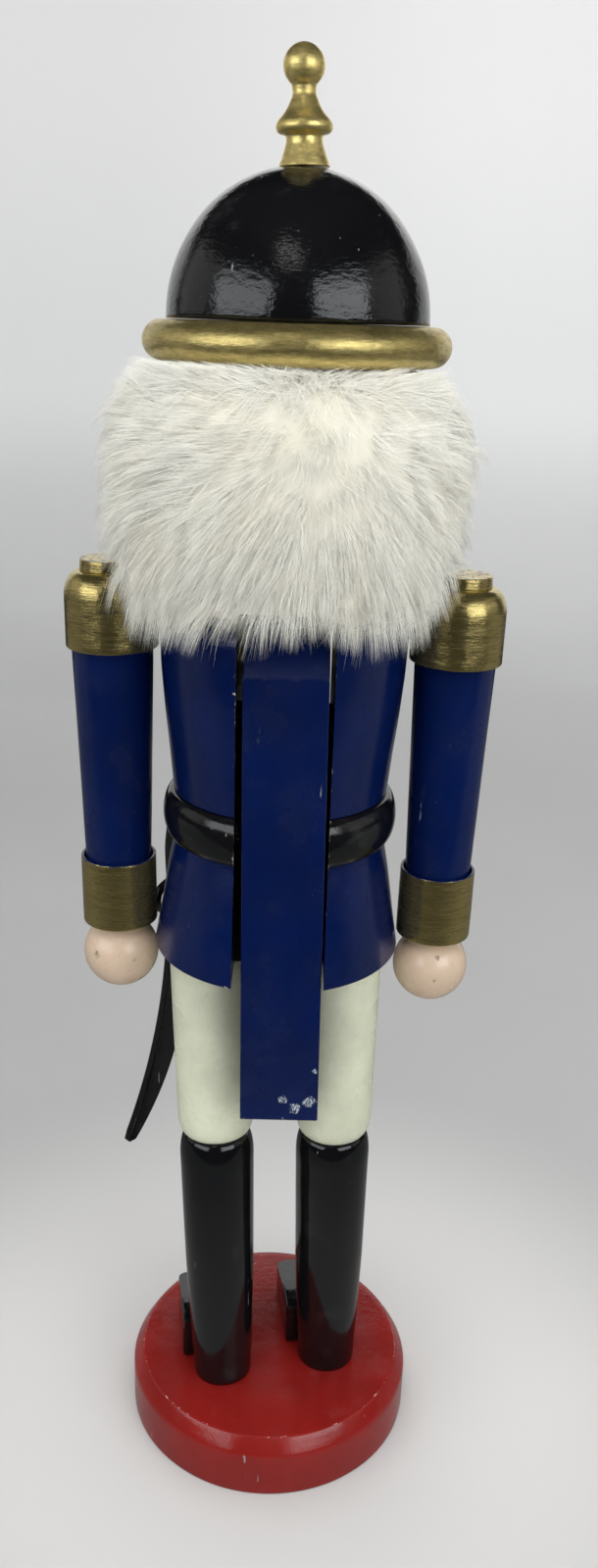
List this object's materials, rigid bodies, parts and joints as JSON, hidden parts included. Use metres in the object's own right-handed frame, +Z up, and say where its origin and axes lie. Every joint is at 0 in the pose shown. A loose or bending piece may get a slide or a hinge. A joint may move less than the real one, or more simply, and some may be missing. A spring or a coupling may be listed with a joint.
{
  "type": "nutcracker figure",
  "caption": "Standing turned-wood nutcracker soldier on a round base, with fur hair and beard and a jaw worked by a lever down its back.",
  "frame": {"origin": "centre of the base's underside, the plane that the figure stands on", "axes": "+Z up, -Y the way the face looks, +X the figure's left"},
  "size_m": [0.1818, 0.1389, 0.6109],
  "materials": {
    "gloss_black": "gloss black enamel on turned wood",
    "gold_paint": "brushed gold paint on turned wood",
    "blue_paint": "satin deep blue paint on wood",
    "red_paint": "gloss red paint on wood",
    "cream_paint": "satin cream paint on turned wood",
    "skin_paint": "gloss flesh paint on turned wood",
    "teeth_paint": "white paint on wood",
    "white_fur": "long-pile white fur on a cloth backing",
    "bare_beech": "bare beech dowel",
    "steel_pin": "plain steel pin"
  },
  "bodies": {
    "figure": {"base_disc": "red_paint", "belt": "gloss_black", "belt_buckle": "gold_paint", "coat_chest": "blue_paint", "coat_skirt": "blue_paint", "finial": "gold_paint", "finial_dowel": "bare_beech", "hair_fur": "white_fur", "head_block": "skin_paint", "helmet_brim": "gold_paint", "helmet_dome": "gloss_black", "helmet_dowel": "bare_beech", "left_base_dowel": "bare_beech", "left_boot": "gloss_black", "left_coat_button_1": "gold_paint", "left_coat_button_2": "gold_paint", "left_coat_button_3": "gold_paint", "left_cuff": "gold_paint", "left_epaulette": "gold_paint", "left_hand": "skin_paint", "left_hip_dowel": "bare_beech", "left_knee_dowel": "bare_beech", "left_moustache": "white_fur", "left_neck_dowel": "bare_beech", "left_shoe": "gloss_black", "left_shoulder_button": "gold_paint", "left_shoulder_dowel": "bare_beech", "left_sleeve": "blue_paint", "left_trouser_leg": "cream_paint", "left_wrist_dowel": "bare_beech", "nose": "skin_paint", "pivot_pin": "steel_pin", "right_base_dowel": "bare_beech", "right_boot": "gloss_black", "right_coat_button_1": "gold_paint", "right_coat_button_2": "gold_paint", "right_coat_button_3": "gold_paint", "right_cuff": "gold_paint", "right_epaulette": "gold_paint", "right_hand": "skin_paint", "right_hip_dowel": "bare_beech", "right_knee_dowel": "bare_beech", "right_moustache": "white_fur", "right_neck_dowel": "bare_beech", "right_shoe": "gloss_black", "right_shoulder_button": "gold_paint", "right_shoulder_dowel": "bare_beech", "right_sleeve": "blue_paint", "right_trouser_leg": "cream_paint", "right_wrist_dowel": "bare_beech", "sabre_blade": "gloss_black", "sabre_grip": "gloss_black", "sabre_guard": "gloss_black", "sabre_peg": "bare_beech", "upper_teeth": "teeth_paint", "waist_dowel": "bare_beech"},
    "lever": {"jaw_lever": "blue_paint", "lower_teeth": "teeth_paint", "beard_fur": "white_fur"}
  },
  "joints": [
    {"name": "jaw_hinge", "type": "hinge", "parent": "figure", "child": "lever", "pos_m": [0.0006, 0.006, 0.4], "axis": [1, 0, 0], "range_deg": [0, 30]}
  ]
}
